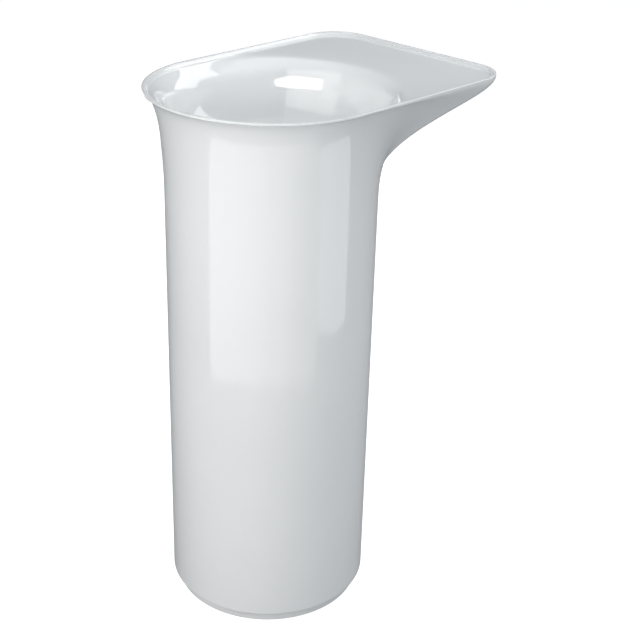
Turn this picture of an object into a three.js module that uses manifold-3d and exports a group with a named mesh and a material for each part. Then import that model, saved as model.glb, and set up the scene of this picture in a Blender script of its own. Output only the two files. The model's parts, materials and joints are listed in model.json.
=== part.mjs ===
// Free-standing ceramic washbasin for a place against a wall, with its waste, trap and floor fixings.
// Millimetres, +Z up, the wall on +Y. Heights count from the floor, plan positions from the column's axis.
import * as THREE from "three";
import { mergeVertices } from "three/addons/utils/BufferGeometryUtils.js";
import Module from "manifold-3d";

// ---- Driving dimensions: ceramic ----
const HEIGHT = 900; // floor to rim
const RIM_WIDTH = 394;
const RIM_FRONT = 202; // column axis to the front of the rim
const RIM_BACK = 349; // column axis to the wall
const RIM_CORNER = 67; // plan radius of the two corners at the wall
const RIM_BAND = 3.5; // upright band under the rim
const WALL_BAND = 8; // the same at the wall, which it stands against
const RIM_EDGE = 1.5; // rounding of the rim's outer edge
const LIP = 5; // top of the rim, outside to inside
const COLUMN_RADIUS = 170;
const FLARE = 175; // rim down to where the column starts to open
const FLARE_PULL = 94; // how much lower the flare swings out at the corners than at the sides
const WALL = 12; // thickness of the ceramic
const UPSTAND = 7; // rim down to the shelf
const UPSTAND_RUN = { side: 4, corner: 5 }; // how far the upstand slopes in on its way down
const BOWL = { radius: 188, offset: 12, depth: 140 }; // its centre lies behind the column axis
const BOWL_WALL = { inset: 22, swell: 30, fall: 5, turn: 28, belly: 0.66, lean: 9, top: 26 };
const SHELF = { knee: 1.25, margin: 1.5, bend: 12, drop: 16 }; // where it turns down into the bowl
const SEAT_DEPTH = 7; // recess for the waste flange
const BOSS = { margin: 23, height: 18 }; // thick pad round the drain hole
const LEDGE = { width: 32, height: 24 }; // thick foot of the column, which the clamps hold down
const SLOT = { width: 180, bottom: 120, belowFlare: 115, corner: 60 }; // service opening at the back

// ---- Driving dimensions: foot ring and clamps ----
const RING = { step: 10, width: 20, height: 18, chamfer: 1.5 }; // step: how far the column overhangs it
const SEAM = 2; // joint between ring and column
const GASKET_INSET = 3;
const CLAMP_ANGLES = [30, 150, 270];
const BOLT = { inset: 19, radius: 4, flats: 13, head: 5, nut: 6.5, washer: 8, washerHeight: 1.6, spare: 6 };
const ANCHOR = { inset: 27, radius: 3.5 }; // floor screw holes, inside the bolts
const LUG = { margin: 12, width: 44, height: 12 };
const BAR = { heel: 16, overlap: 17, thickness: 5, width: 26 };
const PAD = { edge: 3.5, thickness: 2.7 };

// ---- Driving dimensions: waste and plug ----
const THREAD = 20.9; // outer radius of the G 1 1/4 threads
const WASTE = { wall: 2.9, length: 63, flange: 11.1, thickness: 4, gasket: 2, dish: 5, dishDepth: 2.2 };
const WASHER = { gasket: 3, friction: 1.5, nut: 9, rim: 12 };
const HUB = { bore: 8.8, wall: 2.7, depth: 22.6, height: 8, arm: 3, armHeight: 6 };
const CAP = { inset: 1, lift: 8, clearance: 0.7, dome: 5.6, boss: 8, bossLength: 10, collar: 2.5 };
const SEAL = { height: 2, taper: 4, slack: 2.7 };
const STEM = { radius: 3.5, piston: 2.5 };
const CARTRIDGE = { length: 30, below: 24, wall: 1.5, floor: 2.5, collar: 2.7 };
const SPRING = { radius: 5.3, wire: 0.5, turns: 5 };

// ---- Driving dimensions: pipe and trap ----
const PIPE = { radius: 16, wall: 1.6, bend: 28, aboveFloor: 2 };
const NUT = { grip: 5.6, rib: 1.3, ribs: 10, height: 22, lip: 4.5 };
const UNION = { seal: 2.4, flange: 2.2 };
const TRAP = { radius: 33, wall: 3, drop: 134, shoulder: 1.1, cone: 14, neck: 20, skirt: 13.1, branch: 16 };
const CUP = { depth: 82, wall: 2.5, seal: 2, flange: 8, screwIn: 12 };
const DIP = { wall: 2, clearance: 1, end: 30 }; // end: tube to the bottom of the cup
const COLLAR = { width: 7, height: 6, slope: 3 };

const GAP = 0.3; // air between pieces that touch
const SLACK = 0.8; // air between a nut's lip and the pipe it slides on

// ---- Derived heights and positions ----
const HALF_WIDTH = RIM_WIDTH / 2;
const FRONT_CENTRE = HALF_WIDTH - RIM_FRONT; // y of the front half circle's centre
const FLARE_START = HEIGHT - FLARE;
const BOWL_FLOOR = HEIGHT - BOWL.depth;
const SEAT = BOWL_FLOOR - SEAT_DEPTH;
const FOOT = RING.height + SEAM;
const LEDGE_TOP = FOOT + LEDGE.height;
const LEDGE_RADIUS = COLUMN_RADIUS - LEDGE.width;
const RING_RADIUS = COLUMN_RADIUS - RING.step;
const RING_INNER = RING_RADIUS - RING.width;
const BOLT_REACH = LEDGE_RADIUS - BOLT.inset;
const ANCHOR_REACH = BOLT_REACH - ANCHOR.inset;
const BAR_TOP = LEDGE_TOP + PAD.thickness + 2 * GAP + BAR.thickness;
const FLANGE_RADIUS = THREAD + WASTE.flange;
const SEAT_RADIUS = FLANGE_RADIUS + 2;
const DRAIN_RADIUS = THREAD + 2.1;
const BORE = THREAD - WASTE.wall;
const FLANGE_TOP = WASTE.gasket + 2 * GAP + WASTE.thickness;
const HUB_TOP = FLANGE_TOP - HUB.depth;
const CAP_UNDER = FLANGE_TOP + CAP.clearance + CAP.lift;
const WASTE_END = SEAT - WASTE.length;
const OUTLET = WASTE_END - TRAP.drop;
const SHOULDER = THREAD + TRAP.shoulder; // trap head above its outlet
const NECK = SHOULDER + TRAP.cone;
const NECK_TOP = NECK + TRAP.neck;
const SKIRT = -THREAD - TRAP.skirt; // lower edge of the trap head
const CUP_BOTTOM = SKIRT - CUP.depth;
const DIP_RADIUS = PIPE.radius + DIP.clearance;
const BRANCH_END = TRAP.radius + TRAP.branch;
const OUTLET_NUT_END = BRANCH_END + 9;
const PIPE_BACK = OUTLET_NUT_END + 2 + PIPE.bend;
const PIPE_BORE = PIPE.radius - PIPE.wall;
const FLAT_SEAL = THREAD - 0.5; // outer radius of the flat seals under the nuts

const FINISH = {
  ceramic: { color: 0xf2f4f3, roughness: 0.08, metalness: 0 },
  ring: { color: 0xeff1f0, roughness: 0.2, metalness: 0 },
  chrome: { color: 0xc9cdd0, roughness: 0.08, metalness: 1 },
  steel: { color: 0x9aa0a4, roughness: 0.35, metalness: 1 },
  brass: { color: 0xb5924c, roughness: 0.3, metalness: 1 },
  rubber: { color: 0x1e2022, roughness: 0.8, metalness: 0 },
  plastic: { color: 0xe4e6e4, roughness: 0.4, metalness: 0 },
};

const wasm = await Module();
wasm.setup();

// ---- Geometry helpers ----
function toSolid(geometry) {
  const bare = geometry.clone();
  bare.deleteAttribute("normal");
  bare.deleteAttribute("uv");
  const merged = mergeVertices(bare, 1e-4);
  const mesh = new wasm.Mesh({
    numProp: 3,
    vertProperties: merged.attributes.position.array,
    triVerts: new Uint32Array(merged.index.array),
  });
  return new wasm.Manifold(mesh);
}

function toGeometry(solid) {
  const mesh = solid.getMesh();
  const geometry = new THREE.BufferGeometry();
  geometry.setAttribute("position", new THREE.BufferAttribute(mesh.vertProperties, 3));
  geometry.setIndex(new THREE.BufferAttribute(mesh.triVerts, 1));
  return geometry;
}

function join(...geometries) {
  return toGeometry(geometries.map(toSolid).reduce((sum, next) => sum.add(next)));
}

function cut(base, ...tools) {
  return toGeometry(tools.map(toSolid).reduce((rest, tool) => rest.subtract(tool), toSolid(base)));
}

// A solid through rings of points, listed bottom to top and anticlockwise from above, closed at both ends.
function loft(rings) {
  const count = rings[0].length;
  const middle = (ring) => [0, 1, 2].map((k) => ring.reduce((sum, p) => sum + p[k], 0) / count);
  const points = [...rings.flat(), middle(rings[0]), middle(rings.at(-1))];
  const bottom = points.length - 2;
  const top = points.length - 1;
  const last = (rings.length - 1) * count;
  const index = [];
  for (let j = 0; j < count; j++) {
    const next = (j + 1) % count;
    for (let base = 0; base < last; base += count) {
      index.push(base + j, base + next, base + count + next);
      index.push(base + j, base + count + next, base + count + j);
    }
    index.push(bottom, next, j);
    index.push(top, last + j, last + next);
  }
  const geometry = new THREE.BufferGeometry();
  geometry.setAttribute("position", new THREE.Float32BufferAttribute(points.flat(), 3));
  geometry.setIndex(index);
  return geometry;
}

// A turned solid about Z from [radius, z] pairs; a profile off the axis is closed back to its start.
function turned(profile, segments = 24) {
  const onAxis = profile[0][0] === 0;
  const outline = onAxis ? profile : [...profile, profile[0]];
  const area = outline.reduce((sum, [r, z], i) => {
    const [nextR, nextZ] = outline[(i + 1) % outline.length];
    return sum + r * nextZ - nextR * z;
  }, 0);
  const ordered = area > 0 ? outline : [...outline].reverse();
  const points = ordered.map(([r, z]) => new THREE.Vector2(r, z));
  return new THREE.LatheGeometry(points, segments).rotateX(Math.PI / 2);
}

function tube(inner, outer, bottom, top, segments = 24) {
  return turned([[inner, bottom], [outer, bottom], [outer, top], [inner, top]], segments);
}

function rod(radius, bottom, top, segments = 24) {
  return turned([[0, bottom], [radius, bottom], [radius, top], [0, top]], segments);
}

// A box from x0 to x1 and z0 to z1, centred on Y.
function block(x0, x1, width, z0, z1) {
  return new THREE.BoxGeometry(x1 - x0, width, z1 - z0).translate((x0 + x1) / 2, 0, (z0 + z1) / 2);
}

function mix(a, b, share) {
  return a + (b - a) * share;
}

// ---- The ceramic: every surface is a set of profiles, one for each direction from the column axis ----
function reachOfCircle(x, y, centreX, centreY, radius) {
  const along = x * centreX + y * centreY;
  return along + Math.sqrt(along ** 2 - centreX ** 2 - centreY ** 2 + radius ** 2);
}

// Points on the rim in plan: half circle at the front, straight sides, two round corners, straight back.
function rimOutline() {
  const points = [];
  const arc = (x, y, radius, from, steps, sweep) => {
    for (let i = 0; i < steps; i++) {
      const turn = THREE.MathUtils.degToRad(from + (sweep * i) / steps);
      points.push([x + radius * Math.cos(turn), y + radius * Math.sin(turn)]);
    }
  };
  const line = (x0, y0, x1, y1, steps) => {
    for (let i = 0; i < steps; i++) points.push([mix(x0, x1, i / steps), mix(y0, y1, i / steps)]);
  };
  const cornerX = HALF_WIDTH - RIM_CORNER;
  const cornerY = RIM_BACK - RIM_CORNER;
  arc(0, FRONT_CENTRE, HALF_WIDTH, 180, 22, 180);
  line(HALF_WIDTH, FRONT_CENTRE, HALF_WIDTH, cornerY, 6);
  arc(cornerX, cornerY, RIM_CORNER, 0, 6, 90);
  line(cornerX, RIM_BACK, -cornerX, RIM_BACK, 4);
  arc(-cornerX, cornerY, RIM_CORNER, 90, 6, 90);
  line(-HALF_WIDTH, cornerY, -HALF_WIDTH, FRONT_CENTRE, 6);
  return points;
}

// Each direction: its unit vector, the reach of the rim, its overhang from side (0) to corner (1).
function sampleDirections() {
  const reaches = rimOutline().map(([x, y]) => {
    const reach = Math.hypot(x, y);
    return { x: x / reach, y: y / reach, reach };
  });
  const least = HALF_WIDTH;
  const most = Math.max(...reaches.map((d) => d.reach));
  return reaches.map((d) => ({ ...d, overhang: Math.max(0, (d.reach - least) / (most - least)) }));
}

const DIRECTIONS = sampleDirections();

function skin(profileOf) {
  const profiles = DIRECTIONS.map(profileOf);
  const rings = profiles[0].map((_, level) =>
    DIRECTIONS.map((d, k) => {
      const [radius, z] = profiles[k][level];
      return [d.x * radius, d.y * radius, z];
    }),
  );
  return loft(rings);
}

// The upright band is higher where the rim stands against the wall; the corners lead from one to the other.
function bandOf(d) {
  const share = THREE.MathUtils.clamp((d.y * d.reach - RIM_BACK + RIM_CORNER) / RIM_CORNER, 0, 1);
  return mix(RIM_BAND, WALL_BAND, share ** 3);
}

// The flare from the column (t = 0) to the band under the rim (t = 1).
function flareCurve(d) {
  const band = bandOf(d);
  return new THREE.CubicBezierCurve(
    new THREE.Vector2(COLUMN_RADIUS, FLARE_START),
    new THREE.Vector2(COLUMN_RADIUS, HEIGHT - FLARE_PULL * d.overhang),
    new THREE.Vector2(d.reach, HEIGHT - band - 0.4 * FLARE_PULL * d.overhang),
    new THREE.Vector2(d.reach, HEIGHT - band),
  );
}

function outerProfile(d) {
  const flare = flareCurve(d).getPoints(8).map((p) => [p.x, p.y]);
  return [
    [COLUMN_RADIUS - RING.chamfer, FOOT],
    [COLUMN_RADIUS, FOOT + RING.chamfer],
    ...flare,
    [d.reach, HEIGHT - RIM_EDGE],
    [d.reach - 0.3 * RIM_EDGE, HEIGHT - 0.3 * RIM_EDGE],
    [d.reach - RIM_EDGE, HEIGHT],
  ];
}

// The space inside the column and under the shelf, one wall thickness in from the outside.
function hollowProfile(d) {
  const flare = flareCurve(d);
  const inner = [0, 0.2, 0.35, 0.5, 0.7].map((t) => {
    const point = flare.getPoint(t);
    const along = flare.getTangent(t);
    return [point.x - WALL * along.y, point.y + WALL * along.x];
  });
  return [
    [LEDGE_RADIUS, FOOT - 1],
    [LEDGE_RADIUS, LEDGE_TOP],
    [COLUMN_RADIUS - WALL, LEDGE_TOP],
    ...inner,
  ];
}

// Bowl, shelf and upstand, from the drain up to the lip.
function basinProfile(d) {
  const lip = d.reach - LIP;
  const run = mix(UPSTAND_RUN.side, UPSTAND_RUN.corner, d.overhang);
  const shelf = lip - SHELF.knee * run;
  const circle = reachOfCircle(d.x, d.y, 0, BOWL.offset, BOWL.radius);
  const edge = Math.min(circle, shelf - SHELF.margin);
  const bend = THREE.MathUtils.clamp(shelf - edge, 0, SHELF.bend);
  const level = HEIGHT - UPSTAND;
  const room = COLUMN_RADIUS - WALL - 2 + BOWL_WALL.swell * d.overhang;
  const waist = Math.min(edge - BOWL_WALL.inset, room);
  const top = waist + BOWL_WALL.lean;
  const wall = new THREE.CubicBezierCurve(
    new THREE.Vector2(SEAT_RADIUS, BOWL_FLOOR),
    new THREE.Vector2(waist - BOWL_WALL.turn, BOWL_FLOOR + BOWL_WALL.fall),
    new THREE.Vector2(waist, mix(level, BOWL_FLOOR, BOWL_WALL.belly)),
    new THREE.Vector2(top, level - BOWL_WALL.top),
  );
  return [
    ...wall.getPoints(6).map((p) => [p.x, p.y]),
    [mix(edge, top, 0.7), level - SHELF.drop],
    [mix(edge, top, 0.3) + bend / 6, level - SHELF.drop / 2],
    [edge - 1 + 0.4 * bend, level - 3],
    [edge + bend, level - 1],
    [shelf, level + 1],
    [lip - 0.75 * run, level + 0.33 * UPSTAND],
    [lip - 0.35 * run, level + 0.67 * UPSTAND],
    [lip, HEIGHT - 1.5],
    [lip + 2, HEIGHT + 1],
  ];
}

// The same profile grown by one wall thickness: what the ceramic fills round the bowl.
function basinBlockProfile(d) {
  const profile = basinProfile(d);
  return profile.map(([radius, z], i) => {
    const [beforeR, beforeZ] = profile[Math.max(i - 1, 0)];
    const [afterR, afterZ] = profile[Math.min(i + 1, profile.length - 1)];
    const along = new THREE.Vector2(afterR - beforeR, afterZ - beforeZ).normalize();
    return [radius + WALL * along.y, z - WALL * along.x];
  });
}

function serviceOpening() {
  const half = SLOT.width / 2;
  const top = FLARE_START - SLOT.belowFlare;
  const shape = new THREE.Shape();
  shape.absarc(half - SLOT.corner, top - SLOT.corner, SLOT.corner, 0, Math.PI / 2);
  shape.absarc(SLOT.corner - half, top - SLOT.corner, SLOT.corner, Math.PI / 2, Math.PI);
  shape.absarc(SLOT.corner - half, SLOT.bottom + SLOT.corner, SLOT.corner, Math.PI, 1.5 * Math.PI);
  shape.absarc(half - SLOT.corner, SLOT.bottom + SLOT.corner, SLOT.corner, 1.5 * Math.PI, 2 * Math.PI);
  const depth = COLUMN_RADIUS;
  const prism = new THREE.ExtrudeGeometry(shape, { depth, curveSegments: 8, bevelEnabled: false });
  return prism.rotateX(Math.PI / 2).translate(0, COLUMN_RADIUS + 20, 0);
}

function ceramicBody() {
  const hollow = cut(skin(hollowProfile), skin(basinBlockProfile));
  const shell = cut(skin(outerProfile), hollow, skin(basinProfile));
  const padded = join(shell, rod(DRAIN_RADIUS + BOSS.margin, SEAT - BOSS.height, SEAT + 2, 32));
  const seat = rod(SEAT_RADIUS, SEAT, BOWL_FLOOR + 5, 32);
  const drain = rod(DRAIN_RADIUS, SEAT - BOSS.height - 5, BOWL_FLOOR, 32);
  return cut(padded, seat, drain, serviceOpening());
}

// ---- Foot ring, seam and hold-down clamps: a clamp is made on +X and turned into place ----
function footRing() {
  const body = turned(
    [
      [RING_INNER, 0],
      [RING_RADIUS - RING.chamfer, 0],
      [RING_RADIUS, RING.chamfer],
      [RING_RADIUS, RING.height - RING.chamfer],
      [RING_RADIUS - RING.chamfer, RING.height],
      [RING_INNER, RING.height],
    ],
    48,
  );
  const lugs = [];
  const holes = [];
  for (const angle of CLAMP_ANGLES) {
    const turn = THREE.MathUtils.degToRad(angle);
    const lug = block(ANCHOR_REACH - LUG.margin, RING_INNER + RING.width / 2, LUG.width, 0, LUG.height);
    const bolt = rod(BOLT.radius + GAP, 1, LUG.height + 1, 16).translate(BOLT_REACH, 0, 0);
    const recess = rod(BOLT.washer, -1, BOLT.head + 1, 16).translate(BOLT_REACH, 0, 0);
    const anchor = rod(ANCHOR.radius, -1, LUG.height + 1, 16).translate(ANCHOR_REACH, 0, 0);
    lugs.push(lug.rotateZ(turn));
    holes.push(bolt.rotateZ(turn), recess.rotateZ(turn), anchor.rotateZ(turn));
  }
  return cut(join(body, ...lugs), ...holes);
}

function baseGasket() {
  return tube(RING_INNER + 1, RING_RADIUS - GASKET_INSET, RING.height + GAP, FOOT - GAP, 48);
}

function hexagon(flats, bottom, top) {
  const prism = new THREE.CylinderGeometry(flats / Math.sqrt(3), flats / Math.sqrt(3), top - bottom, 6);
  return prism.rotateX(Math.PI / 2).translate(0, 0, (top + bottom) / 2);
}

function holdDownBolt() {
  const base = 0.8;
  const end = BAR_TOP + BOLT.washerHeight + BOLT.nut + BOLT.spare;
  const shank = [
    [0, base + 1],
    [BOLT.radius, base + 1],
    [BOLT.radius, end - 1],
    [BOLT.radius - 1, end],
    [0, end],
  ];
  return join(hexagon(BOLT.flats, base, base + BOLT.head), turned(shank, 16)).translate(BOLT_REACH, 0, 0);
}

function clampBar() {
  const start = BOLT_REACH - BAR.heel;
  const bar = block(start, LEDGE_RADIUS + BAR.overlap, BAR.width, BAR_TOP - BAR.thickness, BAR_TOP);
  const heel = block(start, start + BAR.thickness, BAR.width, LUG.height + GAP, BAR_TOP - 1);
  const hole = rod(BOLT.radius + 2 * GAP, BAR_TOP - 2 * BAR.thickness, BAR_TOP + 1, 16);
  return cut(join(bar, heel), hole.translate(BOLT_REACH, 0, 0));
}

function clampPad() {
  const bottom = LEDGE_TOP + GAP;
  const start = LEDGE_RADIUS + PAD.edge;
  return block(start, LEDGE_RADIUS + BAR.overlap - 1, BAR.width, bottom, bottom + PAD.thickness);
}

function clampWasher() {
  const bottom = BAR_TOP + GAP;
  const washer = tube(BOLT.radius + GAP, BOLT.washer, bottom, bottom + BOLT.washerHeight, 16);
  return washer.translate(BOLT_REACH, 0, 0);
}

function clampNut() {
  const bottom = BAR_TOP + BOLT.washerHeight + 2 * GAP;
  const top = bottom + BOLT.nut;
  const nut = cut(hexagon(BOLT.flats, bottom, top), rod(BOLT.radius + GAP, bottom - 1, top + 1, 16));
  return nut.translate(BOLT_REACH, 0, 0);
}

// ---- Waste: heights count from the seat in the bowl ----
function wasteBody() {
  const flangeBottom = WASTE.gasket + 2 * GAP;
  const shell = turned(
    [
      [BORE, -WASTE.length],
      [THREAD, -WASTE.length],
      [THREAD, flangeBottom],
      [FLANGE_RADIUS, flangeBottom],
      [FLANGE_RADIUS, FLANGE_TOP - 1.4],
      [FLANGE_RADIUS - 1.6, FLANGE_TOP],
      [FLANGE_RADIUS - WASTE.dish, FLANGE_TOP],
      [THREAD - 0.5, FLANGE_TOP - WASTE.dishDepth],
      [BORE, FLANGE_TOP - WASTE.dishDepth - 3],
    ],
    32,
  );
  const hub = rod(HUB.bore + HUB.wall, HUB_TOP - HUB.height, HUB_TOP);
  const span = BORE + 1;
  const arms = [0, 60, 120].map((angle) => {
    const arm = block(-span, span, HUB.arm, HUB_TOP - HUB.armHeight, HUB_TOP);
    return arm.rotateZ(THREE.MathUtils.degToRad(angle));
  });
  return cut(join(shell, hub, ...arms), rod(HUB.bore, HUB_TOP - HUB.height - 1, HUB_TOP + 1));
}

function flangeGasket() {
  return tube(THREAD + GAP, FLANGE_RADIUS - 1, GAP, GAP + WASTE.gasket);
}

const UNDER_BOSS = -BOSS.height - GAP;
const UNDER_GASKET = UNDER_BOSS - WASHER.gasket - GAP;
const UNDER_FRICTION = UNDER_GASKET - WASHER.friction - GAP;

function lowerGasket() {
  return tube(THREAD + GAP, THREAD + WASHER.rim, UNDER_BOSS - WASHER.gasket, UNDER_BOSS);
}

function frictionWasher() {
  return tube(THREAD + GAP, THREAD + WASHER.rim - 1, UNDER_GASKET - WASHER.friction, UNDER_GASKET);
}

function backNut() {
  const bottom = UNDER_FRICTION - WASHER.nut;
  const hex = hexagon(2 * (THREAD + WASHER.rim) - 11, bottom, UNDER_FRICTION);
  return cut(hex, rod(THREAD + GAP, bottom - 1, UNDER_FRICTION + 1));
}

// ---- Push plug, drawn open ----
function plugCap() {
  const edge = FLANGE_RADIUS - CAP.inset;
  const collarTop = CAP_UNDER - SEAL.height - 2 * GAP;
  return turned(
    [
      [0, CAP_UNDER - 0.8],
      [STEM.radius + GAP, CAP_UNDER - 0.8],
      [STEM.radius + GAP, CAP_UNDER - CAP.bossLength],
      [CAP.boss, CAP_UNDER - CAP.bossLength],
      [CAP.boss, collarTop - CAP.collar],
      [CAP.boss + CAP.collar, collarTop - CAP.collar],
      [CAP.boss + CAP.collar, collarTop],
      [CAP.boss, collarTop],
      [CAP.boss, CAP_UNDER],
      [edge - 1, CAP_UNDER],
      [edge, CAP_UNDER + 1],
      [edge, CAP_UNDER + 0.45 * CAP.dome],
      [edge - 1.2, CAP_UNDER + 0.7 * CAP.dome],
      [0.55 * edge, CAP_UNDER + 0.9 * CAP.dome],
      [0, CAP_UNDER + CAP.dome],
    ],
    32,
  );
}

function plugSeal() {
  const top = CAP_UNDER - GAP;
  const edge = FLANGE_RADIUS - WASTE.dish - SEAL.slack;
  return turned([
    [CAP.boss + GAP, top - SEAL.height],
    [edge - SEAL.taper, top - SEAL.height],
    [edge, top - 1],
    [edge, top],
    [CAP.boss + GAP, top],
  ]);
}

const CARTRIDGE_BOTTOM = HUB_TOP - CARTRIDGE.below;
const CARTRIDGE_TOP = CARTRIDGE_BOTTOM + CARTRIDGE.length;
const PISTON_TOP = CARTRIDGE_TOP - 8.5;
const PISTON_BOTTOM = PISTON_TOP - STEM.piston;

function clickCartridge() {
  const outer = HUB.bore - GAP;
  const inner = outer - CARTRIDGE.wall;
  const mouth = STEM.radius + GAP;
  return turned([
    [0, CARTRIDGE_BOTTOM],
    [outer, CARTRIDGE_BOTTOM],
    [outer, HUB_TOP + GAP],
    [outer + CARTRIDGE.collar, HUB_TOP + GAP],
    [outer + CARTRIDGE.collar, HUB_TOP + GAP + CARTRIDGE.collar],
    [outer, HUB_TOP + GAP + CARTRIDGE.collar],
    [outer, CARTRIDGE_TOP],
    [mouth, CARTRIDGE_TOP],
    [mouth, CARTRIDGE_TOP - CARTRIDGE.wall],
    [inner, CARTRIDGE_TOP - CARTRIDGE.wall],
    [inner, CARTRIDGE_BOTTOM + CARTRIDGE.floor],
    [0, CARTRIDGE_BOTTOM + CARTRIDGE.floor],
  ]);
}

function plugStem() {
  const disc = HUB.bore - GAP - CARTRIDGE.wall - 2 * GAP;
  return turned([
    [0, PISTON_BOTTOM],
    [disc, PISTON_BOTTOM],
    [disc, PISTON_TOP],
    [STEM.radius, PISTON_TOP],
    [STEM.radius, CAP_UNDER - 1.1],
    [0, CAP_UNDER - 1.1],
  ]);
}

class Helix extends THREE.Curve {
  constructor(radius, bottom, top, turns) {
    super();
    Object.assign(this, { radius, bottom, top, turns });
  }

  getPoint(t, target = new THREE.Vector3()) {
    const turn = 2 * Math.PI * this.turns * t;
    const z = mix(this.bottom, this.top, t);
    return target.set(this.radius * Math.cos(turn), this.radius * Math.sin(turn), z);
  }
}

function plugSpring() {
  const bottom = CARTRIDGE_BOTTOM + CARTRIDGE.floor + GAP + SPRING.wire;
  const top = PISTON_BOTTOM - GAP - SPRING.wire;
  const extrudePath = new Helix(SPRING.radius, bottom, top, SPRING.turns);
  const section = new THREE.Shape().absarc(0, 0, SPRING.wire, 0, 2 * Math.PI);
  return new THREE.ExtrudeGeometry(section, { extrudePath, steps: SPRING.turns * 10, curveSegments: 3 });
}

// ---- Tailpiece: heights count from the end of the waste ----
// A ribbed union nut with its lip at the bottom.
function ribbedNut() {
  const outer = THREAD + NUT.grip;
  const shape = new THREE.Shape();
  for (let i = 0; i < NUT.ribs * 4; i++) {
    const turn = (2 * Math.PI * i) / (NUT.ribs * 4);
    const radius = i % 4 < 2 ? outer : outer - NUT.rib;
    if (i === 0) shape.moveTo(radius, 0);
    else shape.lineTo(radius * Math.cos(turn), radius * Math.sin(turn));
  }
  const prism = new THREE.ExtrudeGeometry(shape, { depth: NUT.height, bevelEnabled: false });
  const thread = rod(THREAD + GAP, NUT.lip, NUT.height + 1);
  return cut(prism, thread, rod(PIPE.radius + SLACK, -1, NUT.height));
}

function unionNut() {
  const lipTop = -UNION.seal - UNION.flange - 3 * GAP;
  return ribbedNut().translate(0, 0, lipTop - NUT.lip);
}

function unionGasket() {
  return tube(PIPE_BORE + 0.6, FLAT_SEAL, -GAP - UNION.seal, -GAP);
}

function tailpiece() {
  const top = -UNION.seal - 2 * GAP;
  const end = SHOULDER + 1 - TRAP.drop;
  return turned([
    [PIPE_BORE, end],
    [PIPE.radius, end],
    [PIPE.radius, top - UNION.flange],
    [FLAT_SEAL, top - UNION.flange],
    [FLAT_SEAL, top],
    [PIPE_BORE, top],
  ]);
}

// ---- Bottle trap: heights count from its outlet, which points to the wall ----
function trapInletNut() {
  return ribbedNut().rotateX(Math.PI).translate(0, 0, NECK_TOP + 5 + GAP + NUT.lip);
}

function trapInletWasher() {
  const inner = PIPE.radius + GAP;
  const bottom = NECK_TOP + GAP;
  return turned([
    [inner, bottom],
    [FLAT_SEAL, bottom],
    [FLAT_SEAL, bottom + 2],
    [mix(inner, FLAT_SEAL, 0.6), bottom + 4.4],
    [inner, bottom + 4.4],
  ]);
}

function trapHead() {
  const inner = TRAP.radius - TRAP.wall;
  const outside = turned(
    [
      [0, SKIRT],
      [TRAP.radius, SKIRT],
      [TRAP.radius, SHOULDER],
      [TRAP.radius - 4, SHOULDER + 9],
      [THREAD, NECK],
      [THREAD, NECK_TOP],
      [0, NECK_TOP],
    ],
    28,
  );
  const chamber = turned(
    [[0, SKIRT - 1], [inner, SKIRT - 1], [inner, SHOULDER - 2], [inner - 4, SHOULDER + 5], [0, SHOULDER + 5]],
    28,
  );
  const branch = rod(THREAD, 0, BRANCH_END).rotateX(-Math.PI / 2);
  const branchBore = rod(PIPE.radius + GAP, TRAP.radius / 3, BRANCH_END + 1).rotateX(-Math.PI / 2);
  const neckBore = rod(DIP_RADIUS + DIP.wall + GAP, SHOULDER, NECK_TOP + 1);
  return cut(join(outside, branch), chamber, neckBore, branchBore);
}

function dipTube() {
  return tube(DIP_RADIUS, DIP_RADIUS + DIP.wall, CUP_BOTTOM + DIP.end, NECK_TOP - 2);
}

function trapCup() {
  const outer = TRAP.radius - TRAP.wall - GAP;
  const flange = SKIRT - CUP.seal - 2 * GAP;
  return turned(
    [
      [0, CUP_BOTTOM],
      [outer - 8, CUP_BOTTOM],
      [outer - 2, CUP_BOTTOM + 3],
      [outer, CUP_BOTTOM + 9],
      [outer, flange - CUP.flange],
      [TRAP.radius, flange - CUP.flange],
      [TRAP.radius, flange],
      [outer, flange],
      [outer, SKIRT + CUP.screwIn],
      [outer - CUP.wall, SKIRT + CUP.screwIn],
      [outer - CUP.wall, CUP_BOTTOM + 10],
      [outer - 9, CUP_BOTTOM + CUP.wall],
      [0, CUP_BOTTOM + CUP.wall],
    ],
    28,
  );
}

function cupSeal() {
  const top = SKIRT - GAP;
  return tube(TRAP.radius - TRAP.wall, TRAP.radius - GAP, top - CUP.seal, top, 28);
}

function outletWasher() {
  const washer = tube(PIPE.radius + GAP, FLAT_SEAL, BRANCH_END + GAP, OUTLET_NUT_END - NUT.lip - GAP);
  return washer.rotateX(-Math.PI / 2);
}

function outletNut() {
  return ribbedNut().rotateX(Math.PI / 2).translate(0, OUTLET_NUT_END, 0);
}

// Level out of the trap, round a bend and straight down to the floor.
function pipeAlong(radius, extra) {
  const start = TRAP.radius + 3 - extra;
  const centre = PIPE_BACK - PIPE.bend;
  const end = PIPE.aboveFloor - OUTLET - extra;
  const stations = [{ y: start, z: 0, turn: 0 }];
  for (let i = 0; i <= 6; i++) {
    const turn = (i / 6) * (Math.PI / 2);
    const y = centre + PIPE.bend * Math.sin(turn);
    stations.push({ y, z: PIPE.bend * (Math.cos(turn) - 1), turn });
  }
  stations.push({ y: PIPE_BACK, z: end, turn: Math.PI / 2 });
  const circle = Array.from({ length: 24 }, (_, i) => (2 * Math.PI * i) / 24);
  const rings = stations.map(({ y, z, turn }) =>
    circle.map((angle) => {
      const up = radius * Math.sin(angle);
      return [-radius * Math.cos(angle), y + up * Math.sin(turn), z + up * Math.cos(turn)];
    }),
  );
  return loft(rings);
}

function wastePipe() {
  return cut(pipeAlong(PIPE.radius, 0), pipeAlong(PIPE_BORE, 2));
}

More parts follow.
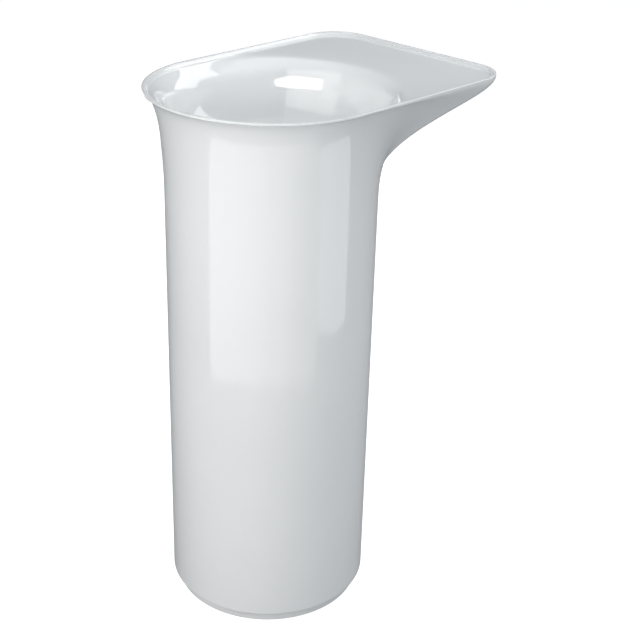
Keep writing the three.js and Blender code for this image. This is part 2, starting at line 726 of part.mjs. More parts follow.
function floorCollar() {
  const inner = PIPE.radius + GAP;
  const outer = PIPE.radius + COLLAR.width;
  const collar = turned([
    [inner, 0],
    [outer, 0],
    [outer, COLLAR.height / 4],
    [outer - COLLAR.slope, COLLAR.height],
    [inner, COLLAR.height],
  ]);
  return collar.translate(0, PIPE_BACK, 0);
}

// ---- Assembly ----
const sink = new THREE.Group();

function add(finish, name, geometry, z = 0) {
  const mesh = new THREE.Mesh(geometry, new THREE.MeshStandardMaterial(FINISH[finish]));
  mesh.name = name;
  mesh.position.z = z;
  sink.add(mesh);
}

add("ceramic", "ceramic_body", ceramicBody());
add("ring", "foot_ring", footRing());
add("rubber", "base_gasket", baseGasket());

CLAMP_ANGLES.forEach((angle, i) => {
  const turn = THREE.MathUtils.degToRad(angle);
  add("steel", `hold_down_bolt_${i + 1}`, holdDownBolt().rotateZ(turn));
  add("steel", `clamp_bar_${i + 1}`, clampBar().rotateZ(turn));
  add("rubber", `clamp_pad_${i + 1}`, clampPad().rotateZ(turn));
  add("steel", `clamp_washer_${i + 1}`, clampWasher().rotateZ(turn));
  add("steel", `clamp_nut_${i + 1}`, clampNut().rotateZ(turn));
});

add("chrome", "waste_body", wasteBody(), SEAT);
add("rubber", "flange_gasket", flangeGasket(), SEAT);
add("rubber", "lower_gasket", lowerGasket(), SEAT);
add("plastic", "friction_washer", frictionWasher(), SEAT);
add("brass", "back_nut", backNut(), SEAT);
add("chrome", "plug_cap", plugCap(), SEAT);
add("rubber", "plug_seal", plugSeal(), SEAT);
add("brass", "plug_stem", plugStem(), SEAT);
add("plastic", "click_cartridge", clickCartridge(), SEAT);
add("steel", "plug_spring", plugSpring(), SEAT);

add("plastic", "union_nut", unionNut(), WASTE_END);
add("rubber", "union_gasket", unionGasket(), WASTE_END);
add("plastic", "tailpiece", tailpiece(), WASTE_END);
add("plastic", "trap_inlet_nut", trapInletNut(), OUTLET);
add("rubber", "trap_inlet_washer", trapInletWasher(), OUTLET);
add("plastic", "trap_head", trapHead(), OUTLET);
add("plastic", "dip_tube", dipTube(), OUTLET);
add("plastic", "trap_cup", trapCup(), OUTLET);
add("rubber", "cup_seal", cupSeal(), OUTLET);
add("plastic", "outlet_nut", outletNut(), OUTLET);
add("rubber", "outlet_washer", outletWasher(), OUTLET);
add("plastic", "waste_pipe", wastePipe(), OUTLET);
add("rubber", "floor_collar", floorCollar());

// The part's origin is the middle of its floor area.
sink.position.y = (RIM_FRONT - RIM_BACK) / 2;

export default sink;
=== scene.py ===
"""Free-standing ceramic washbasin: fine meshes, materials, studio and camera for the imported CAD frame."""

import json
from math import cos, hypot, pi, radians, sin, sqrt

import bmesh
import bpy
from mathutils import Matrix, Vector


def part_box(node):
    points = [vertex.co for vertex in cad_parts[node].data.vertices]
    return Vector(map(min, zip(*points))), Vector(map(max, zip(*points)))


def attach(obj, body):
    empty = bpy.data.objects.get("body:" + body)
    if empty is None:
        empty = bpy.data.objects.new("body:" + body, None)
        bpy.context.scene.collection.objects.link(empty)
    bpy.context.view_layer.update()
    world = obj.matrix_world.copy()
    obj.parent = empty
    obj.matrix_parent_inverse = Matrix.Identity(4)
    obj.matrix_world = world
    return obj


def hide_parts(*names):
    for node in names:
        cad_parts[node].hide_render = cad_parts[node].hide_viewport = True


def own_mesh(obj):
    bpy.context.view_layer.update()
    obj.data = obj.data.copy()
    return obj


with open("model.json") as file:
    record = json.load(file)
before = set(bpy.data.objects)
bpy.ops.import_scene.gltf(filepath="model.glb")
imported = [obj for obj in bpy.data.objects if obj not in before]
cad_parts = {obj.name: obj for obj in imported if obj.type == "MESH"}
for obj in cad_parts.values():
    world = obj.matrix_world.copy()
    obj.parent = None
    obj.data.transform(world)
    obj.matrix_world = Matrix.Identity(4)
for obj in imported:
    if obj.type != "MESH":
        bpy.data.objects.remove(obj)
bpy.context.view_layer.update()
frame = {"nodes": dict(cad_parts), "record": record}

MM = 0.001


# ---- Sizes in millimetres: heights count from the floor, plan positions from the column's axis ----
def frame_box(node):
    low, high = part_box(node)
    return [v / MM for v in low], [v / MM for v in high]


BODY_LOW, BODY_HIGH = frame_box("ceramic_body")
RING_LOW, RING_HIGH = frame_box("foot_ring")
GASKET_LOW, GASKET_HIGH = frame_box("base_gasket")
WASTE_LOW, WASTE_HIGH = frame_box("waste_body")
PIPE_LOW, PIPE_HIGH = frame_box("waste_pipe")

AXIS_Y = (RING_LOW[1] + RING_HIGH[1]) / 2
HEIGHT = BODY_HIGH[2]
FOOT = BODY_LOW[2]
HALF_WIDTH = (BODY_HIGH[0] - BODY_LOW[0]) / 2
RIM_FRONT = AXIS_Y - BODY_LOW[1]
RIM_BACK = BODY_HIGH[1] - AXIS_Y
RING_RADIUS = (RING_HIGH[0] - RING_LOW[0]) / 2
RING_HEIGHT = RING_HIGH[2]
FRONT_CENTRE = HALF_WIDTH - RIM_FRONT
RIM_CORNER = 67
RIM_BAND, WALL_BAND = 3.5, 8.0
UPSTAND = 7
LIP = 5
COLUMN_RADIUS = RING_RADIUS + 10
FLARE_START = HEIGHT - 175
FLARE_PULL = 94
WALL = 12
LEDGE_RADIUS = COLUMN_RADIUS - 32
LEDGE_TOP = FOOT + 24
BOWL_FLOOR = HEIGHT - 140
SEAT = BOWL_FLOOR - 7
BOSS_BOTTOM = SEAT - 18
SLOT_HALF, SLOT_LOW, SLOT_HIGH, SLOT_CORNER = 90, 120, FLARE_START - 115, 60

THREAD = 20.9
PITCH = 2.309
FLANGE_TOP = WASTE_HIGH[2]
WASTE_END = WASTE_LOW[2]
OUTLET = PIPE_HIGH[2] - 16
PIPE_BACK = PIPE_HIGH[1] - 16 - AXIS_Y
PIPE_RADIUS = 16
PIPE_BORE = 14.4
CLAMP_ANGLES = (30, 150, 270)
BOLT_REACH = LEDGE_RADIUS - 19
ANCHOR_REACH = BOLT_REACH - 27
BOLT_RADIUS, BOLT_PITCH = 4, 1.25
BAR_TOP = LEDGE_TOP + 8.3

# Heights of the waste and plug, from the seat in the bowl
FLANGE_RADIUS = THREAD + 11.1
FLANGE_UNDER = 2.6
FLANGE_UPPER = FLANGE_TOP - SEAT
CAP_UNDER = FLANGE_UPPER + 8.7
HUB_TOP = FLANGE_UPPER - 22.6
CARTRIDGE_LOW = HUB_TOP - 24
CARTRIDGE_TOP = CARTRIDGE_LOW + 30
PISTON_TOP = CARTRIDGE_TOP - 8.5
STEM_RADIUS = 3.5

# Heights of the trap, from its outlet
SHOULDER, NECK, NECK_TOP, SKIRT = THREAD + 1.1, THREAD + 15.1, THREAD + 35.1, -THREAD - 13.1
TRAP_RADIUS, CUP_LOW = 33, -THREAD - 95.1
BRANCH_END = TRAP_RADIUS + 16
OUTLET_NUT_END = BRANCH_END + 9
FLAT_SEAL = THREAD - 0.5
GAP = 0.3


def mix(a, b, share):
    return a + (b - a) * share


# ---- Mesh helpers ----
def upright(z=0.0, x=0.0, y=0.0, turn=0):
    """Where a piece stands: moved out from the column's axis and up, then turned round that axis."""
    c, s = cos(radians(turn)), sin(radians(turn))
    return lambda p: ((p[0] + x) * c - (p[1] + y) * s, (p[0] + x) * s + (p[1] + y) * c, p[2] + z)


def level(y, sign=1):
    """Lays a piece on its side: its own +Z points to the wall, or away from it."""
    return lambda p: (p[0], y + sign * p[2], OUTLET - sign * p[1])


def flipped(z):
    return lambda p: (p[0], -p[1], z - p[2])


def new_object(name, points, faces, slots, material_of=None, place=None):
    """A smooth mesh from points in millimetres about the column's axis."""
    if place:
        points = [place(p) for p in points]
    mesh = bpy.data.meshes.new(name)
    mesh.from_pydata([(x * MM, (y + AXIS_Y) * MM, z * MM) for x, y, z in points], [], faces)
    for material in slots:
        mesh.materials.append(material)
    if material_of:
        mesh.polygons.foreach_set("material_index", material_of)
    mesh.polygons.foreach_set("use_smooth", [True] * len(mesh.polygons))
    mesh.update()
    piece = bpy.data.objects.new(name, mesh)
    bpy.context.scene.collection.objects.link(piece)
    return piece


def recalculate(piece):
    shape = bmesh.new()
    shape.from_mesh(piece.data)
    bmesh.ops.recalc_face_normals(shape, faces=shape.faces)
    shape.to_mesh(piece.data)
    shape.free()
    return piece


def apply_modifiers(piece):
    graph = bpy.context.evaluated_depsgraph_get()
    solved = bpy.data.meshes.new_from_object(piece.evaluated_get(graph))
    piece.modifiers.clear()
    piece.data = solved
    return piece


def boolean(piece, tool, operation="DIFFERENCE"):
    step = piece.modifiers.new("cut", "BOOLEAN")
    step.operation = operation
    step.object = tool
    step.solver = "EXACT"
    apply_modifiers(piece)
    bpy.data.objects.remove(tool)
    return piece


def sharp_edges(piece, angle=40):
    """Smooth shading with a crease wherever two faces meet at more than the angle."""
    piece.data.set_sharp_from_angle(angle=radians(angle))
    return piece


def closed_grid(columns, closed_profile=True):
    """Points and quads of profiles set side by side round the axis."""
    count = len(columns[0])
    points = [p for column in columns for p in column]
    faces = []
    for i in range(len(columns)):
        here, after = i * count, ((i + 1) % len(columns)) * count
        for j in range(count if closed_profile else count - 1):
            k = (j + 1) % count
            faces.append((here + j, after + j, after + k, here + k))
    return points, faces


def rounded(profile, radius=0.6, steps=3, closed=True):
    """The profile with its corners rounded, the radius limited by the sides beside each."""
    result = []
    count = len(profile)
    for i, here in enumerate(profile):
        ends = not closed and i in (0, count - 1)
        before, after = Vector(profile[i - 1]), Vector(profile[(i + 1) % count])
        corner = Vector(here)
        if ends or (here[0] == 0 and closed):
            result.append(tuple(here))
            continue
        to_before, to_after = before - corner, after - corner
        reach = min(radius, 0.45 * to_before.length, 0.45 * to_after.length)
        start = corner + to_before.normalized() * reach
        end = corner + to_after.normalized() * reach
        for k in range(steps + 1):
            t = k / steps
            point = start * (1 - t) ** 2 + corner * 2 * t * (1 - t) + end * t * t
            result.append((point.x, point.y))
    return result


def turned(name, profile, material, segments=96, fillet=0.6, place=None, wave=None):
    """A turned piece; a profile that starts on the axis is open there, any other is a closed loop.
    A wave changes each point's radius and height with its angle, for ribs, flats and threads."""
    on_axis = profile[0][0] == 0
    outline = rounded(profile, fillet, closed=not on_axis) if fillet else profile
    columns = []
    for i in range(segments):
        turn = 2 * pi * i / segments
        column = [wave(turn, r, z) if wave else (r, z) for r, z in outline]
        columns.append([(r * cos(turn), r * sin(turn), z) for r, z in column])
    points, faces = closed_grid(columns, closed_profile=not on_axis)
    piece = new_object(name, points, faces, [material], place=place)
    shape = bmesh.new()
    shape.from_mesh(piece.data)
    bmesh.ops.remove_doubles(shape, verts=shape.verts, dist=1e-6)
    bmesh.ops.recalc_face_normals(shape, faces=shape.faces)
    shape.to_mesh(piece.data)
    shape.free()
    return sharp_edges(piece)


def tube(name, inner, outer, low, high, material, **options):
    return turned(name, [(inner, low), (outer, low), (outer, high), (inner, high)], material, **options)


def rod(name, radius, low, high, material, **options):
    return turned(name, [(0, low), (radius, low), (radius, high), (0, high)], material, **options)


def thread_wave(radius, low, high, pitch):
    """Cuts a screw thread into the points that lie on a cylinder, fading out at both ends."""
    depth = 0.55 * pitch

    def wave(turn, r, z):
        if abs(r - radius) > 0.01 or not low <= z <= high:
            return r, z
        share = (z / pitch - turn / (2 * pi)) % 1
        groove = 1 - abs(2 * share - 1)
        fade = min(1, (z - low) / pitch, (high - z) / pitch)
        return r - depth * groove * max(0, fade), z

    return wave


def thread_line(radius, low, high, pitch):
    """Close points up a cylinder, for the thread to shape."""
    rows = int((high - low) / pitch * 8)
    return [(radius, mix(low, high, i / rows)) for i in range(rows + 1)]


def hexagon_wave(flats, low, high):
    """Turns a round blank into a hexagon with its corners chamfered at both ends."""
    def wave(turn, r, z):
        if r < flats / 2 - 0.7:
            return r, z
        beside = (turn + pi / 6) % (pi / 3) - pi / 6
        reach = min(flats / 2 / cos(beside), 0.57 * flats)
        slope = 0.55 * (reach - flats / 2)
        return reach - (flats / 2 - r), min(max(z, low + slope), high - slope)

    return wave


def hexagon_nut(name, flats, bore, low, high, material, place=None):
    blank = [(bore, low + 0.5), (bore + 0.5, low), (flats / 2 - 0.3, low), (flats / 2, low + 0.3)]
    blank += [(r, low + high - z) for r, z in reversed(blank)]
    return turned(name, blank, material, 144, 0, place, hexagon_wave(flats, low, high))


def rounded_block(name, x, width, z, material, radius=1.0, place=None, segments=3):
    """A block from x[0] to x[1] and z[0] to z[1], centred on Y, with every edge rounded."""
    corners = [(a, b, c) for a in x for b in (-width / 2, width / 2) for c in z]
    faces = [(0, 1, 3, 2), (4, 6, 7, 5), (0, 4, 5, 1), (2, 3, 7, 6), (0, 2, 6, 4), (1, 5, 7, 3)]
    piece = recalculate(new_object(name, corners, faces, [material], place=place))
    if radius:
        soften(piece, radius, segments)
    return piece


def soften(piece, radius, segments=2, angle=35):
    step = piece.modifiers.new("soft", "BEVEL")
    step.width = radius * MM
    step.segments = segments
    step.limit_method = "ANGLE"
    step.angle_limit = radians(angle)
    step.use_clamp_overlap = True
    apply_modifiers(piece)
    return sharp_edges(piece, 50)


def stands_for(piece, body, slot, *nodes):
    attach(piece, body)
    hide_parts(*nodes)
    return piece


# ---- Materials ----
def material(name, color, roughness, metallic=0.0, ior=1.5):
    """A principled material and the tools to vary it: node tree, shader and object coordinates."""
    made = bpy.data.materials.new(name)
    made.use_nodes = True
    tree = made.node_tree
    shader = tree.nodes["Principled BSDF"]
    shader.inputs["Base Color"].default_value = (*color, 1)
    shader.inputs["Roughness"].default_value = roughness
    shader.inputs["Metallic"].default_value = metallic
    shader.inputs["IOR"].default_value = ior
    place = tree.nodes.new("ShaderNodeTexCoord")
    return made, tree, shader, place.outputs["Object"]


def noise(tree, place, scale, detail=3.0, stretch=None):
    source = place
    if stretch:
        mapping = tree.nodes.new("ShaderNodeMapping")
        mapping.inputs["Scale"].default_value = stretch
        tree.links.new(place, mapping.inputs["Vector"])
        source = mapping.outputs["Vector"]
    texture = tree.nodes.new("ShaderNodeTexNoise")
    texture.inputs["Scale"].default_value = scale
    texture.inputs["Detail"].default_value = detail
    tree.links.new(source, texture.inputs["Vector"])
    return texture.outputs["Fac"]


def vary_color(tree, shader, factor, dark, light):
    ramp = tree.nodes.new("ShaderNodeValToRGB")
    ramp.color_ramp.elements[0].position = 0.3
    ramp.color_ramp.elements[0].color = (*dark, 1)
    ramp.color_ramp.elements[1].position = 0.7
    ramp.color_ramp.elements[1].color = (*light, 1)
    tree.links.new(factor, ramp.inputs["Fac"])
    tree.links.new(ramp.outputs["Color"], shader.inputs["Base Color"])


def vary_roughness(tree, shader, factor, low, high):
    span = tree.nodes.new("ShaderNodeMapRange")
    span.inputs["From Min"].default_value = 0.3
    span.inputs["From Max"].default_value = 0.7
    span.inputs["To Min"].default_value = low
    span.inputs["To Max"].default_value = high
    tree.links.new(factor, span.inputs["Value"])
    tree.links.new(span.outputs["Result"], shader.inputs["Roughness"])


def add_bump(tree, shader, factor, depth, strength=1.0):
    bump = tree.nodes.new("ShaderNodeBump")
    bump.inputs["Distance"].default_value = depth
    bump.inputs["Strength"].default_value = strength
    tree.links.new(factor, bump.inputs["Height"])
    tree.links.new(bump.outputs["Normal"], shader.inputs["Normal"])


def glaze():
    made, tree, shader, place = material("ceramic_glaze", (0.86, 0.87, 0.872), 0.05, ior=1.55)
    shader.inputs["Coat Weight"].default_value = 0.35
    shader.inputs["Coat Roughness"].default_value = 0.02
    vary_color(tree, shader, noise(tree, place, 5, 2), (0.845, 0.856, 0.86), (0.872, 0.88, 0.881))
    vary_roughness(tree, shader, noise(tree, place, 28, 4), 0.04, 0.075)
    add_bump(tree, shader, noise(tree, place, 16, 1.5), 0.0004, 0.12)
    return made


def bisque():
    made, tree, shader, place = material("ceramic_unglazed", (0.78, 0.76, 0.72), 0.75)
    vary_color(tree, shader, noise(tree, place, 22, 5), (0.70, 0.68, 0.63), (0.80, 0.78, 0.74))
    vary_roughness(tree, shader, noise(tree, place, 60, 4), 0.6, 0.85)
    add_bump(tree, shader, noise(tree, place, 420, 6), 0.0004, 0.5)
    return made


def white_gloss_plastic():
    made, tree, shader, place = material("ring_white", (0.84, 0.85, 0.85), 0.2, ior=1.5)
    vary_color(tree, shader, noise(tree, place, 9, 3), (0.80, 0.81, 0.812), (0.85, 0.858, 0.86))
    vary_roughness(tree, shader, noise(tree, place, 70, 4), 0.14, 0.26)
    add_bump(tree, shader, noise(tree, place, 240, 3), 0.0001, 0.25)
    return made


def moulded_plastic():
    made, tree, shader, place = material("white_plastic", (0.8, 0.805, 0.8), 0.38)
    shader.inputs["Subsurface Weight"].default_value = 0.08
    shader.inputs["Subsurface Radius"].default_value = (0.002, 0.002, 0.002)
    vary_color(tree, shader, noise(tree, place, 14, 3), (0.76, 0.765, 0.76), (0.82, 0.825, 0.82))
    vary_roughness(tree, shader, noise(tree, place, 90, 4), 0.3, 0.46)
    add_bump(tree, shader, noise(tree, place, 700, 4), 0.00008, 0.5)
    return made


def rubber():
    made, tree, shader, place = material("black_rubber", (0.025, 0.025, 0.027), 0.7)
    vary_color(tree, shader, noise(tree, place, 40, 4), (0.018, 0.018, 0.02), (0.04, 0.04, 0.042))
    vary_roughness(tree, shader, noise(tree, place, 120, 4), 0.55, 0.85)
    add_bump(tree, shader, noise(tree, place, 900, 5), 0.00012, 0.5)
    return made


def chrome():
    made, tree, shader, place = material("chrome", (0.83, 0.84, 0.85), 0.06, metallic=1)
    vary_roughness(tree, shader, noise(tree, place, 60, 5), 0.04, 0.12)
    add_bump(tree, shader, noise(tree, place, 300, 2), 0.00003, 0.2)
    return made


def brass():
    made, tree, shader, place = material("brass", (0.72, 0.54, 0.27), 0.28, metallic=1)
    vary_color(tree, shader, noise(tree, place, 60, 5), (0.60, 0.43, 0.20), (0.76, 0.58, 0.31))
    vary_roughness(tree, shader, noise(tree, place, 140, 4), 0.2, 0.38)
    add_bump(tree, shader, noise(tree, place, 1400, 2, (0.05, 0.05, 1)), 0.00006, 0.5)
    return made


def zinc_steel():
    made, tree, shader, place = material("zinc_steel", (0.60, 0.61, 0.62), 0.35, metallic=1)
    vary_color(tree, shader, noise(tree, place, 90, 6), (0.48, 0.49, 0.50), (0.68, 0.69, 0.70))
    vary_roughness(tree, shader, noise(tree, place, 160, 5), 0.26, 0.45)
    add_bump(tree, shader, noise(tree, place, 500, 4), 0.00005, 0.5)
    return made


def spring_steel():
    made, tree, shader, place = material("spring_steel", (0.5, 0.51, 0.53), 0.25, metallic=1)
    vary_roughness(tree, shader, noise(tree, place, 300, 4), 0.18, 0.34)
    add_bump(tree, shader, noise(tree, place, 1500, 3), 0.00002, 0.4)
    return made


GLAZE = glaze()
BISQUE = bisque()
RING_WHITE = white_gloss_plastic()
PLASTIC = moulded_plastic()
RUBBER = rubber()
CHROME = chrome()
BRASS = brass()
ZINC = zinc_steel()
SPRING_STEEL = spring_steel()
BY_SLOT = {
    "ceramic_glaze": GLAZE,
    "ring_white": RING_WHITE,
    "white_plastic": PLASTIC,
    "black_rubber": RUBBER,
    "chrome": CHROME,
    "brass": BRASS,
    "zinc_steel": ZINC,
    "spring_steel": SPRING_STEEL,
}


# ---- The ceramic body: one closed skin of profiles, one for each direction from the column's axis ----
def circle_reach(x, y, centre_y, radius, centre_x=0.0):
    along = x * centre_x + y * centre_y
    return along + sqrt(along**2 - centre_x**2 - centre_y**2 + radius**2)


def rim_outline(per_turn=240):
    """Points on the rim in plan, evenly close: half circle, straight sides, two corners, straight back."""
    corner_x, corner_y = HALF_WIDTH - RIM_CORNER, RIM_BACK - RIM_CORNER
    points = []

    def arc(x, y, radius, start, sweep, steps):
        for i in range(steps):
            turn = radians(start + sweep * i / steps)
            points.append((x + radius * cos(turn), y + radius * sin(turn)))

    def line(a, b, steps):
        for i in range(steps):
            points.append((mix(a[0], b[0], i / steps), mix(a[1], b[1], i / steps)))

    corner_steps = per_turn // 8
    arc(0, FRONT_CENTRE, HALF_WIDTH, 180, 180, per_turn // 2)
    line((HALF_WIDTH, FRONT_CENTRE), (HALF_WIDTH, corner_y), per_turn // 5)
    arc(corner_x, corner_y, RIM_CORNER, 0, 90, corner_steps)
    line((corner_x, RIM_BACK), (-corner_x, RIM_BACK), per_turn // 6)
    arc(-corner_x, corner_y, RIM_CORNER, 90, 90, corner_steps)
    line((-HALF_WIDTH, corner_y), (-HALF_WIDTH, FRONT_CENTRE), per_turn // 5)
    return points


def bezier(a, b, c, d, t):
    s = 1 - t
    return tuple(
        s**3 * p + 3 * s * s * t * q + 3 * s * t * t * r + t**3 * u for p, q, r, u in zip(a, b, c, d)
    )


def rim_band(y):
    """Height of the upright band under the rim at a plan position; higher at the wall."""
    share = min(max((y - RIM_BACK + RIM_CORNER) / RIM_CORNER, 0), 1)
    return mix(RIM_BAND, WALL_BAND, share**3)


def flare_point(reach, overhang, band, t):
    """On the outside from the column (t = 0) to the band under the rim (t = 1)."""
    return bezier(
        (COLUMN_RADIUS, FLARE_START),
        (COLUMN_RADIUS, HEIGHT - FLARE_PULL * overhang),
        (reach, HEIGHT - band - 0.4 * FLARE_PULL * overhang),
        (reach, HEIGHT - band),
        t,
    )


def smooth_curve(controls, per_span=4):
    """A uniform cubic B-spline that starts and ends on its first and last controls."""
    padded = [controls[0]] * 2 + list(controls) + [controls[-1]] * 2
    result = []
    for i in range(len(padded) - 3):
        p, q, r, s = padded[i : i + 4]
        for k in range(per_span):
            t = k / per_span
            weights = ((1 - t) ** 3, 3 * t**3 - 6 * t * t + 4, 3 * (t + t * t - t**3) + 1, t**3)
            result.append(tuple(sum(w * v for w, v in zip(weights, vs)) / 6 for vs in zip(p, q, r, s)))
    result.append(controls[-1])
    return result


def basin_controls(x, y, reach, overhang):
    """Bowl, shelf and upstand from the waste's recess up to the lip."""
    lip = reach - LIP
    run = mix(4, 5, overhang)
    shelf = lip - 1.25 * run
    edge = min(circle_reach(x, y, 12, 188), shelf - 1.5)
    bend = min(max(shelf - edge, 0), 12)
    level = HEIGHT - UPSTAND
    waist = min(edge - 22, COLUMN_RADIUS - WALL - 2 + 30 * overhang)
    top = waist + 9
    start, end = (34, BOWL_FLOOR), (top, level - 26)
    near, far = (waist - 28, BOWL_FLOOR + 5), (waist, level - 0.66 * (level - BOWL_FLOOR))
    wall = [bezier(start, near, far, end, i / 8) for i in range(9)]
    return wall + [
        (mix(edge, top, 0.7), level - 16),
        (mix(edge, top, 0.3) + bend / 6, level - 8),
        (edge - 1 + 0.4 * bend, level - 3),
        (edge + bend, level - 1),
        (mix(edge + bend, shelf, 0.5), level),
        (shelf, level + 1),
        (lip - 0.75 * run, level + 0.33 * UPSTAND),
        (lip - 0.35 * run, level + 0.67 * UPSTAND),
        (lip, HEIGHT - 1.5),
    ]


def inside_controls(basin, reach, overhang, band):
    """The hollow side: up inside the column and flare, round, and down the back of the bowl to the boss."""
    outer = []
    for i in range(8):
        t = i / 10
        here, after = (flare_point(reach, overhang, band, at) for at in (t, t + 0.01))
        along = Vector(after) - Vector(here)
        along.normalize()
        outer.append((here[0] - WALL * along.y, here[1] + WALL * along.x))
    back = []
    for i in range(1, len(basin) - 5):
        along = Vector(basin[i + 1]) - Vector(basin[i - 1])
        along.normalize()
        back.append((basin[i][0] + WALL * along.y, basin[i][1] - WALL * along.x))
    clear = [p for p in outer if all(hypot(p[0] - q[0], p[1] - q[1]) > 1.1 * WALL for q in basin)]
    top = clear[-1] if clear else outer[0]
    below = [p for p in back if p[1] < top[1] - 2 and p[0] < top[0] - 1]
    return outer_resampled(clear or outer[:1], 8), list(reversed(outer_resampled(below, 10)))


def outer_resampled(points, count):
    """The same line with a fixed number of points, so that neighbouring profiles match."""
    if len(points) == 1:
        return points * count
    lengths = [0.0]
    for a, b in zip(points, points[1:]):
        lengths.append(lengths[-1] + hypot(b[0] - a[0], b[1] - a[1]))
    result = []
    for i in range(count):
        want = lengths[-1] * i / (count - 1)
        k = max(j for j in range(len(lengths) - 1) if lengths[j] <= want + 1e-9)
        share = (want - lengths[k]) / max(lengths[k + 1] - lengths[k], 1e-9)
        (r0, z0), (r1, z1) = points[k], points[k + 1]
        result.append((mix(r0, r1, share), mix(z0, z1, share)))
    return result


def body_profile(x, y, reach, overhang):
    """The whole loop in one direction, and how many of its points lie on the glazed side."""
    basin = basin_controls(x, y, reach, overhang)
    band = rim_band(y * reach)
    recess = rounded([(23, SEAT - 9), (23, SEAT), (34, SEAT), (34, BOWL_FLOOR - 2)], 1.2, 4, closed=False)
    lip = rounded(
        [(reach - LIP, HEIGHT - 1.5), (reach - LIP, HEIGHT), (reach, HEIGHT), (reach, HEIGHT - band)],
        1.5, 6, closed=False,
    )
    flare = [flare_point(reach, overhang, band, 1 - i / 28) for i in range(1, 29)]
    rows = 56
    column = [(COLUMN_RADIUS, mix(FLARE_START, FOOT + 3, i / rows)) for i in range(1, rows + 1)]
    sole = [(COLUMN_RADIUS, FOOT + 3), (COLUMN_RADIUS, FOOT), (LEDGE_RADIUS, FOOT)]
    foot = rounded(sole, 2, 4, closed=False)
    glazed = recess + smooth_curve(basin)[1:-1] + lip + flare + column + foot[1:-1]
    up, down = inside_controls(basin, reach, overhang, band)
    inner = COLUMN_RADIUS - WALL
    ledge = rounded(
        [(LEDGE_RADIUS, FOOT), (LEDGE_RADIUS, LEDGE_TOP), (inner, LEDGE_TOP), (inner, LEDGE_TOP + 40)],
        3, 4, closed=False,
    )
    wall = [(inner, mix(LEDGE_TOP + 40, FLARE_START - 10, i / rows)) for i in range(1, rows)]
    apex = smooth_curve(up + down, 2)
    boss = [(46, BOSS_BOTTOM + 6), (46, BOSS_BOTTOM), (23, BOSS_BOTTOM)]
    hidden = ledge + wall + apex + rounded(boss, 1.5, 4, closed=False)
    return glazed + hidden, len(glazed)


def service_cutter():
    """Rounded rectangles at growing radii; they widen at both faces of the wall and so round its edges."""
    fillet = 3.0
    outer, inner = COLUMN_RADIUS, COLUMN_RADIUS - WALL
    levels = [(inner - 8, 14.0), (inner - 2, 6.5)]
    for i in range(5, -1, -1):
        turn = radians(70 * i / 5)
        levels.append((inner + fillet - fillet * sin(turn), fillet * (1 - cos(turn))))
    for i in range(6):
        turn = radians(70 * i / 5)
        levels.append((outer - fillet + fillet * sin(turn), fillet * (1 - cos(turn))))
    levels += [(outer + 2, 6.5), (outer + 8, 14.0)]
    middle = (SLOT_LOW + SLOT_HIGH) / 2
    loops = []

    def add_loop(radius, grow, share=1.0):
        loop = []
        half, tall, corner = SLOT_HALF + grow, (SLOT_HIGH - SLOT_LOW) / 2 + grow, SLOT_CORNER + grow
        for quarter in range(4):
            side_x = (1, -1, -1, 1)[quarter]
            side_z = (1, 1, -1, -1)[quarter]
            for i in range(25):
                turn = radians(90 * (quarter + i / 24))
                x = share * (side_x * (half - corner) + corner * cos(turn))
                z = middle + share * (side_z * (tall - corner) + corner * sin(turn))
                loop.append((x, sqrt(radius**2 - x**2), z))
        loops.append(loop)

    for share in (0.25, 0.5, 0.75):
        add_loop(*levels[0], share)
    for radius, grow in levels:
        add_loop(radius, grow)
    for share in (0.75, 0.5, 0.25):
        add_loop(*levels[-1], share)
    count = len(loops[0])
    points = [p for loop in loops for p in loop]
    last = len(points) - count
    points += [(0, levels[0][0], middle), (0, levels[-1][0], middle)]
    faces = []
    for j in range(count):
        k = (j + 1) % count
        faces += [(j, k, len(points) - 2), (last + k, last + j, len(points) - 1)]
        for base in range(0, last, count):
            faces += [(base + j, base + count + j, base + count + k), (base + j, base + count + k, base + k)]
    return recalculate(new_object("service_cutter", points, faces, [GLAZE]))


def ceramic_body():
    outline = rim_outline()
    reaches = [hypot(x, y) for x, y in outline]
    most = max(reaches)
    columns = []
    for (px, py), reach in zip(outline, reaches):
        x, y = px / reach, py / reach
        overhang = max(0.0, (reach - HALF_WIDTH) / (most - HALF_WIDTH))
        profile, glazed = body_profile(x, y, reach, overhang)
        columns.append([(x * r, y * r, z) for r, z in profile])
    points, faces = closed_grid(columns)
    count = len(columns[0])
    kinds = [0 if j % count < glazed - 3 else 1 for j in range(len(faces))]
    piece = recalculate(new_object("ceramic_shell", points, faces, [GLAZE, BISQUE], kinds))
    return stands_for(boolean(piece, service_cutter()), "basin", "ceramic_glaze", "ceramic_body")


# ---- Foot ring, seam and hold-down clamps ----
def foot_ring():
    r, h = RING_RADIUS, RING_HEIGHT
    piece = turned("plinth_ring", [(r - 20, 0), (r, 0), (r, h), (r - 20, h)], RING_WHITE, 192, 1.6)
    for angle in CLAMP_ANGLES:
        turn = upright(turn=angle)
        lug = rounded_block("lug", (ANCHOR_REACH - 12, r - 12), 44, (0, 12), RING_WHITE, 2.5, turn)
        boolean(piece, lug, "UNION")
        for reach, radius, low, high in (
            (BOLT_REACH, BOLT_RADIUS + GAP, -1, 13),
            (BOLT_REACH, 8, -1, 6),
            (ANCHOR_REACH, 3.5, -1, 13),
            (ANCHOR_REACH, 6, 11, 13),
        ):
            place = upright(x=reach, turn=angle)
            boolean(piece, rod("hole", radius, low, high, RING_WHITE, segments=48, fillet=0, place=place))
    soften(piece, 0.4)
    stands_for(piece, "basin", "ring_white", "foot_ring")


